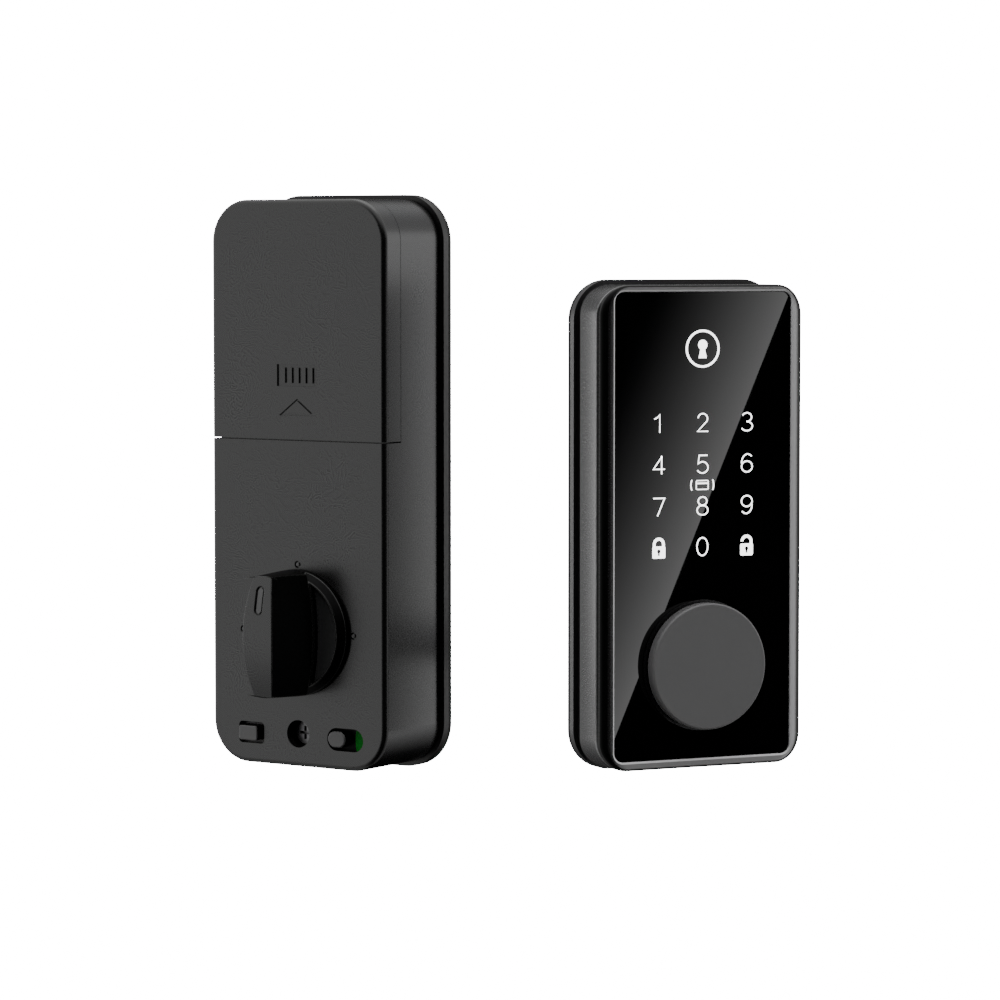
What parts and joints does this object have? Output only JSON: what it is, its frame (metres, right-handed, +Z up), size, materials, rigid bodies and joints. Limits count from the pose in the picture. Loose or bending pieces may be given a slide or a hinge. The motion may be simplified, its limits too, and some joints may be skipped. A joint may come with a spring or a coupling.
{
  "type": "keypad smart lock",
  "caption": "Motorised deadbolt lock in two halves: an indoor unit with thumb turn, sliding battery cover and gear train, and an outdoor touch keypad with a swinging key cover.",
  "frame": {"origin": "centre of the indoor half's spindle hole, on its door face", "axes": "+Z up; -Y towards the viewer who faces the pair; the indoor half is turned 29 degrees to the left and the outdoor half 29 degrees to the right"},
  "size_m": [0.1815, 0.0883, 0.177],
  "materials": {
    "gasket_rubber": "matte",
    "plate_paint": "satin",
    "body_black": "fine matte texture",
    "turn_black": "satin",
    "button_grey": "matte",
    "tray_black": "matte",
    "cell_wrap": "gloss",
    "spring_steel": "plated",
    "gear_plastic": "matte",
    "gear_brass": "machined",
    "plate_steel": "brushed",
    "screw_steel": "plated",
    "motor_steel": "drawn",
    "board_green": "solder mask",
    "chip_black": "moulded",
    "socket_white": "moulded",
    "flag_green": "gloss",
    "ex_paint": "satin metallic",
    "glass_black": "back-painted glass",
    "guide_white": "diffuse",
    "coil_copper": "copper trace",
    "collar_metal": "satin",
    "cover_grey": "satin",
    "zinc": "cast"
  },
  "bodies": {
    "lock_halves": {"in_gasket": "gasket_rubber", "in_plate": "plate_paint", "in_housing": "body_black", "battery_tray": "tray_black", "cell_1": "cell_wrap", "cell_2": "cell_wrap", "cell_3": "cell_wrap", "cell_4": "cell_wrap", "cell_springs": "spring_steel", "cell_contacts": "spring_steel", "main_board": "board_green", "main_chips": "chip_black", "buzzer": "chip_black", "cable_socket": "socket_white", "gear_plate": "plate_steel", "motor_bracket": "plate_steel", "motor": "motor_steel", "idler_pin": "plate_steel", "index_pins": "button_grey", "end_switches": "chip_black", "lower_board": "board_green", "setup_spring": "spring_steel", "setup_switch": "chip_black", "privacy_switch": "chip_black", "housing_screw": "screw_steel", "gear_screws": "screw_steel", "ex_gasket": "gasket_rubber", "ex_plate": "plate_paint", "ex_housing": "ex_paint", "glass_panel": "glass_black", "light_guide": "guide_white", "touch_board": "board_green", "key_leds": "guide_white", "card_antenna": "coil_copper", "touch_chips": "chip_black", "board_socket": "socket_white", "lock_collar": "collar_metal", "cylinder_shell": "zinc", "bolt_posts": "zinc", "plate_screws": "screw_steel"},
    "thumb_turn": {"thumb_turn": "turn_black", "turn_grip_mark": "button_grey", "turn_hub": "zinc", "output_gear": "gear_plastic", "turn_clip": "spring_steel"},
    "idler": {"idler_gear": "gear_plastic"},
    "motor_shaft": {"motor_pinion": "gear_brass"},
    "battery_cover": {"battery_cover": "body_black"},
    "setup_button": {"setup_button": "button_grey"},
    "privacy_slider": {"privacy_slider": "button_grey", "privacy_shutter": "turn_black", "privacy_flag": "flag_green"},
    "key_cover": {"key_cover": "cover_grey", "cover_pin": "screw_steel"},
    "key_plug": {"key_plug": "gear_brass", "plug_clip": "spring_steel", "tailpiece": "zinc"}
  },
  "joints": [
    {"name": "thumb_turn_spin", "type": "hinge", "parent": "lock_halves", "child": "thumb_turn", "pos_m": [0, 0, 0], "axis": [-0.4848, -0.8746, 0], "range_deg": [-90, 90]},
    {"name": "idler_spin", "type": "hinge", "parent": "lock_halves", "child": "idler", "pos_m": [0, 0, 0.0209], "axis": [-0.4848, -0.8746, 0], "range_deg": [-305, 305]},
    {"name": "motor_spin", "type": "hinge", "parent": "lock_halves", "child": "motor_shaft", "pos_m": [0, 0, 0.0378], "axis": [-0.4848, -0.8746, 0], "range_deg": [-965, 965]},
    {"name": "battery_cover_slide", "type": "slide", "parent": "lock_halves", "child": "battery_cover", "axis": [0, 0, 1], "range_m": [0, 0.075]},
    {"name": "setup_button_press", "type": "slide", "parent": "lock_halves", "child": "setup_button", "axis": [0.4848, 0.8746, 0], "range_m": [0, 0.0012], "stiffness_N_per_m": 400, "springref_m": -0.0005, "deforming": ["setup_spring"]},
    {"name": "privacy_slide", "type": "slide", "parent": "lock_halves", "child": "privacy_slider", "axis": [0.8746, -0.4848, 0], "range_m": [0, 0.006]},
    {"name": "key_cover_swing", "type": "hinge", "parent": "lock_halves", "child": "key_cover", "pos_m": [0.097, 0, 0.0062], "axis": [0.4848, -0.8746, 0], "range_deg": [0, 120]},
    {"name": "key_plug_turn", "type": "hinge", "parent": "lock_halves", "child": "key_plug", "pos_m": [0.097, 0, -0.01], "axis": [0.4848, -0.8746, 0], "range_deg": [-90, 90]}
  ],
  "couplings": [
    {"joint": "idler_spin", "follows": "thumb_turn_spin", "ratio": -3.3333},
    {"joint": "motor_spin", "follows": "thumb_turn_spin", "ratio": 10.667}
  ]
}
